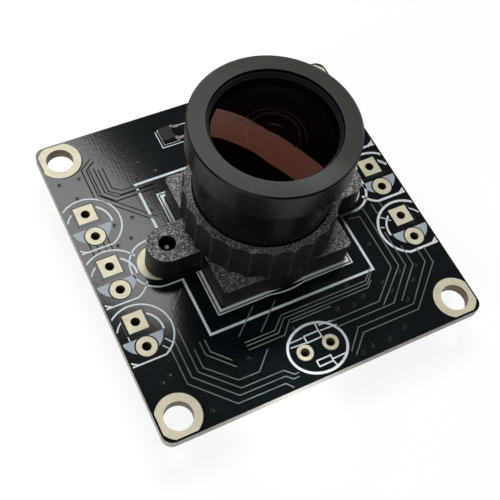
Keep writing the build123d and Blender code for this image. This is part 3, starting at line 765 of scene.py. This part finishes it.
def solder_mask(looks):
    """The top sheet is open at every hole. The underside's closes the holes for leads, a dark sheet that
    stands in for the shade inside them.
    """
    outline = rounded_square(mask_half, board_corner)
    mounting, leads = drilled_holes()
    mask = looks["mask"]
    flat_sheet("solder_mask_top", outline, mounting + leads, board_top, mask_top, mask)
    flat_sheet("solder_mask_underside", outline, mounting, -mask_thickness, 0, mask)


def square_frame(work, centre, half, edge_gap, width, high, slope=0.0):
    """Four strips round a square pad, without those that would come too near the mask's edge."""
    corners = [(half, half), (-half, half), (-half, -half), (half, -half), (half, half)]
    for start, end in zip(corners, corners[1:]):
        ends = [(centre.x + x, centre.y + y) for x, y in (start, end)]
        if max(abs(x) for x, y in ends) < mask_half - edge_gap:
            ribbon(work, ends, width, piece_low, high, slope)


relief_width = 0.16
relief_gap = 0.07
relief_height = 0.035
relief_slope = 0.03


def pad_relief(looks):
    """The raised lip of the mask round each square pad."""
    work = bmesh.new()
    high = mask_top + relief_height
    for pair in solids_of("lamp_square_pads"):
        half = (pair[1].x - pair[0].x) / 2 + relief_gap + relief_width / 2
        square_frame(work, middle_of(pair), half, 0.0, relief_width, high, relief_slope)
    piece("mask_relief", work, looks["mask"])


clearance_width = 0.10
clearance_overlap = 0.02
clearance_edge_gap = 0.1


def pad_gap_shade(looks):
    """Painted shade: a dull black ring in the gap of the mask round each pad, where the mask's edge leaves
    room for it.
    """
    work = bmesh.new()
    low, high = piece_low, dark_high
    for node in ("lamp_round_pads", "microphone_pads", "mounting_pads"):
        for pair in solids_of(node):
            centre = middle_of(pair)
            inner = (pair[1].x - pair[0].x) / 2 - clearance_overlap
            outer = inner + clearance_width
            if abs(centre.x) + outer > mask_half:
                continue
            profile = [(inner, low), (inner, high), (outer, high), (outer, low)]
            turned(work, centre.x, centre.y, profile, steps=48)
    for pair in solids_of("lamp_square_pads"):
        half = (pair[1].x - pair[0].x) / 2 + clearance_width / 2 - clearance_overlap
        square_frame(work, middle_of(pair), half, clearance_edge_gap, clearance_width, high)
    piece("pad_gap_shade", work, looks["black"])


# Copper routes under the mask, in millimetres from the board's middle

fine_routes = [
    [(-12.15, -8.3), (-12.15, -11.7), (-8.95, -15.05), (-4.4, -15.1), (-3.9, -15.7)],
    [(-11.55, -7.5), (-11.55, -11.3), (-8.5, -14.45), (-4.1, -14.5), (-3.6, -15.0), (-3.0, -15.0)],
    [(-10.85, -6.7), (-10.85, -11.1), (-8.1, -13.9), (-4.0, -13.95), (-3.3, -14.65), (-2.9, -14.65)],
    [(-10.3, -9.0), (-10.3, -10.9), (-8.0, -13.15), (-6.0, -13.2), (-4.4, -11.6)],
    [(-9.6, -8.6), (-9.6, -9.9), (-7.6, -12.0)],
    [(-9.1, -8.6), (-9.1, -9.8), (-7.7, -11.3)],
    [(-6.0, -10.25), (-3.0, -10.25), (-1.8, -9.15), (7.1, -9.15), (8.2, -8.1)],
    [(-6.0, -10.6), (-2.8, -10.6), (-1.7, -9.5), (7.1, -9.5), (8.0, -8.6)],
    [(-6.0, -11.0), (-2.4, -11.0), (-1.3, -9.85), (7.0, -9.85), (7.6, -9.3)],
    [(-1.3, -10.15), (2.8, -10.15)],
    [(2.0, -11.5), (7.2, -11.5), (10.1, -8.85), (10.1, -2.8), (8.9, -2.6)],
    [(7.4, -12.0), (10.85, -9.0), (10.85, -2.1)],
    [(2.3, -12.2), (8.4, -12.2), (11.5, -9.2), (11.5, -5.3)],
    [(9.2, -12.3), (12.2, -9.4), (12.2, -7.2)],
    [(2.4, -14.8), (4.1, -13.0), (10.05, -13.0), (13.45, -9.6), (13.45, -8.0)],
    [(2.6, -15.3), (4.3, -13.65), (10.2, -13.65), (14.15, -9.95), (14.15, -8.2)],
    [(11.9, -2.0), (11.9, -3.2)],
    [(12.75, -2.1), (12.75, -2.7)],
    [(-1.6, -7.6), (-4.2, -9.9)],
    [(-3.7, -7.3), (-6.2, -9.5)],
    [(-8.9, -3.2), (-10.5, -4.8)],
]
broad_routes = [
    [(-11.15, 12.95), (-12.3, 12.1), (-12.3, 8.8), (-8.0, 4.5)],
    [(-11.6, 12.0), (-11.6, 8.9), (-10.6, 7.9), (-6.7, 7.9)],
    [(-10.8, 11.7), (-10.8, 9.1), (-9.9, 8.4), (-6.8, 8.4)],
]
route_width = 0.085
route_slope = 0.02
route_high = mask_top + 0.03
broad_route_width = 0.30
broad_route_slope = 0.04
# the painted shade along each broad route reaches this far
route_shade_width = broad_route_width + 0.26
bundle_width = 0.12
bundle_columns = (-14.8, -14.2, -13.55, -13.0)
bundle_start, bundle_end = 4.3, 2.9

vias = [
    (-15, 11.35), (-13.05, 11.35), (-14, 9.3), (-7.25, 11.15), (-7.9, 9.2), (-6, 9.6), (-10.65, 7.95),
    (-10.05, 5.45), (-11.9, 5.25), (-11, 3.4), (-12.4, 3.1), (-14, -10.75), (-13.2, -10.35),
    (-11.2, -14.7), (-6.3, -11.65), (4.85, -10.9), (6.1, -10.4), (4.4, -15.1), (6.2, -15.1), (3.3, -15.3),
    (8, -14.7), (-1.4, -10.7), (8.5, -9.9), (8.9, -11), (11.3, -10.8), (10.6, -9.5), (12.4, -9.6),
    (9.8, -12.4), (9.4, -5.8), (-8, 5.5), (3.25, -10.6), (5.2, -8.8),
]
via_core_radius = 0.02
via_pit_radius = 0.15
via_lip_radius = 0.24
via_lip_round = 0.03
via_lip_high = mask_top + 0.02
via_speck_radius = 0.06
via_speck_core = 0.005
via_speck_high = mask_top + 0.008
via_glint_shift = (0.07, -0.05)


def copper_routes(looks):
    """Fine routes painted pale as a highlight, broad ones in relief between dull black bands of painted
    shade, and a bundle of dark lines.
    """
    fine, broad, shade_and_lines = bmesh.new(), bmesh.new(), bmesh.new()
    for route in fine_routes:
        ribbon(fine, route, route_width, piece_low, route_high, route_slope)
    for route in broad_routes:
        ribbon(broad, route, broad_route_width, piece_low, route_high, broad_route_slope)
        # Painted shade: a dull black band under each broad route shows at both its edges.
        ribbon(shade_and_lines, route, route_shade_width, piece_low, dark_high)
    for x in bundle_columns:
        ribbon(shade_and_lines, [(x, bundle_start), (x, bundle_end)], bundle_width, piece_low, dark_high)
    piece("covered_copper", fine, looks["covered"])
    piece("broad_copper", broad, looks["mask"])
    piece("route_shade_and_dark_lines", shade_and_lines, looks["black"])


def via_marks(looks):
    """Each via is a dark pit of painted shade with a lip of mask, and a bright speck of plating on one side,
    placed where a glint falls.
    """
    lip_profile = [
        (via_pit_radius, piece_low),
        (via_pit_radius + via_lip_round, via_lip_high),
        (via_lip_radius - via_lip_round, via_lip_high),
        (via_lip_radius, piece_low),
    ]
    # Painted shade: a dull black disc fills each via's pit.
    pit_shade_profile = [
        (via_core_radius, piece_low),
        (via_core_radius, dark_high),
        (via_pit_radius, dark_high),
        (via_pit_radius, piece_low),
    ]
    # The plating speck sits on the side where a glint falls, so it also stands in for a painted highlight.
    speck_profile = [
        (via_speck_core, piece_low),
        (via_speck_core, via_lip_high),
        (via_speck_radius, via_speck_high),
        (via_speck_radius, piece_low),
    ]
    shift_x, shift_y = via_glint_shift
    lips, pits, plating_glints = bmesh.new(), bmesh.new(), bmesh.new()
    for x, y in vias:
        turned(lips, x, y, lip_profile, steps=20)
        turned(pits, x, y, pit_shade_profile, steps=16)
        turned(plating_glints, x + shift_x, y + shift_y, speck_profile, steps=12)
    piece("via_lips", lips, looks["mask"])
    piece("via_pit_shade", pits, looks["black"])
    piece("via_plating_glint", plating_glints, looks["tin"])


# Fine print on the mask, in millimetres from the board's middle

print_high = mask_top + 0.006
fine_line = 0.13
thin_line = 0.09
lamp_ring_radius = 2.06
lamp_ring_width = 0.19
lamp_ring_edge_gap = 0.2
lamp_ring_end = 57  # the outer arc ends this many degrees from straight outward
lamp_ring_start = 8  # the inner arc starts this many degrees from straight inward
lamp_ring_sweep = 65

microphone_print = [
    [(-0.92, -11.82), (0.60, -11.82), (0.62, -12.47), (-0.88, -12.49), (-0.92, -11.82)],
    [(-0.94, -14.35), (0.48, -14.35), (0.45, -14.91), (-0.92, -14.93), (-0.94, -14.35)],
    [(0.62, -11.06), (0.58, -11.78)],
    [(0.52, -14.74), (1.88, -14.72)],
    [(0.46, -14.95), (0.60, -15.50)],
]
crossing_routes = [
    [(-2.30, -11.92), (-1.10, -11.89)],
    [(0.75, -11.89), (2.43, -11.96)],
    [(-2.50, -12.35), (-0.95, -12.45)],
    [(0.85, -11.37), (2.22, -11.45)],
]
transistor_print = [
    [(-2.85, 13.86), (-3.92, 13.86), (-3.92, 12.00), (-2.25, 11.98)],
    [(-1.55, 13.78), (-0.66, 13.74)],
    [(-4.2, 13.75), (-4.2, 11.72), (-1.65, 11.69)],
]
lamp_strokes = [
    [(15.1, -3.1), (15.1, -5.2)],
    [(11.95, -3.65), (12.75, -4.4)],
    [(11.4, -4.7), (11.75, -4.85)],
    [(-15.1, -4.5), (-15.1, -6.15)],
    [(-12.2, -7.05), (-11.75, -7.65)],
    [(-12.65, -7.6), (-12.2, -8.15)],
    [(12.35, 1.8), (12.35, 0.45)],
    [(14.95, 2.4), (15.7, 1.5)],
]


def lamp_rings(work):
    """Two arcs of each lamp's ring. The outer one stops at the board's edge."""
    edge = board_side / 2 - lamp_ring_edge_gap
    squares = [middle_of(pair) for pair in solids_of("lamp_square_pads")]
    rounds = [middle_of(pair) for pair in solids_of("lamp_round_pads")]
    for square, disc in zip(squares, rounds):
        x, y = (square.x + disc.x) / 2, (square.y + disc.y) / 2
        reach = math.degrees(math.acos(min(1.0, (edge - abs(x)) / lamp_ring_radius)))
        outward, inward = (0, 180) if x > 0 else (180, 0)
        turn = 1 if x > 0 else -1
        outer_sweep = turn * (lamp_ring_end - reach)
        outer_arc = arc(x, y, lamp_ring_radius, outward + turn * reach, outer_sweep, steps=8)
        ribbon(work, outer_arc, fine_line, piece_low, print_high)
        inner_start = inward + turn * lamp_ring_start
        inner_arc = arc(x, y, lamp_ring_radius, inner_start, -turn * lamp_ring_sweep, steps=20)
        ribbon(work, inner_arc, lamp_ring_width, piece_low, print_high)


def fine_print(looks):
    """The thin printed lines by the microphone, the transistor and the lamps."""
    work = bmesh.new()
    for line in microphone_print:
        ribbon(work, line, fine_line, piece_low, print_high)
    for line in transistor_print + lamp_strokes:
        ribbon(work, line, thin_line, piece_low, print_high)
    lamp_rings(work)
    piece("fine_print", work, looks["ink"])


def crossing_copper(looks):
    """Short routes by the microphone, in the print's ink as a painted highlight."""
    work = bmesh.new()
    for line in crossing_routes:
        ribbon(work, line, route_width, piece_low, route_high, route_slope)
    piece("crossing_copper", work, looks["ink"])


# Pale rings on the front glass's hollow back face, painted reflections of the inner elements' edges: radius,
# and height over the seat of the glass
lens_rings = [(2.60, 0.125), (2.04, 0.48)]
lens_ring_width = 0.045
lens_ring_steps = 96


def painted_ring_reflections(looks):
    """Pale rings in the hollow of the front glass, painted reflections of the inner elements' edges."""
    work = bmesh.new()
    seat = box_mm("front_element")[0].z
    for radius, height in lens_rings:
        low, high = seat + height, seat + height + lens_ring_width
        outer = radius + lens_ring_width
        profile = [(radius, low), (outer, low), (outer, high), (radius, high)]
        turned(work, 0, 0, profile, steps=lens_ring_steps)
    piece("painted_ring_reflections", work, looks["ring_reflection"], "glass")


make_camera()
looks = paint_nodes()
light_scene()
solder_mask(looks)
pad_relief(looks)
pad_gap_shade(looks)
copper_routes(looks)
via_marks(looks)
fine_print(looks)
crossing_copper(looks)
painted_ring_reflections(looks)
bpy.context.scene.view_settings.view_transform = "Standard"
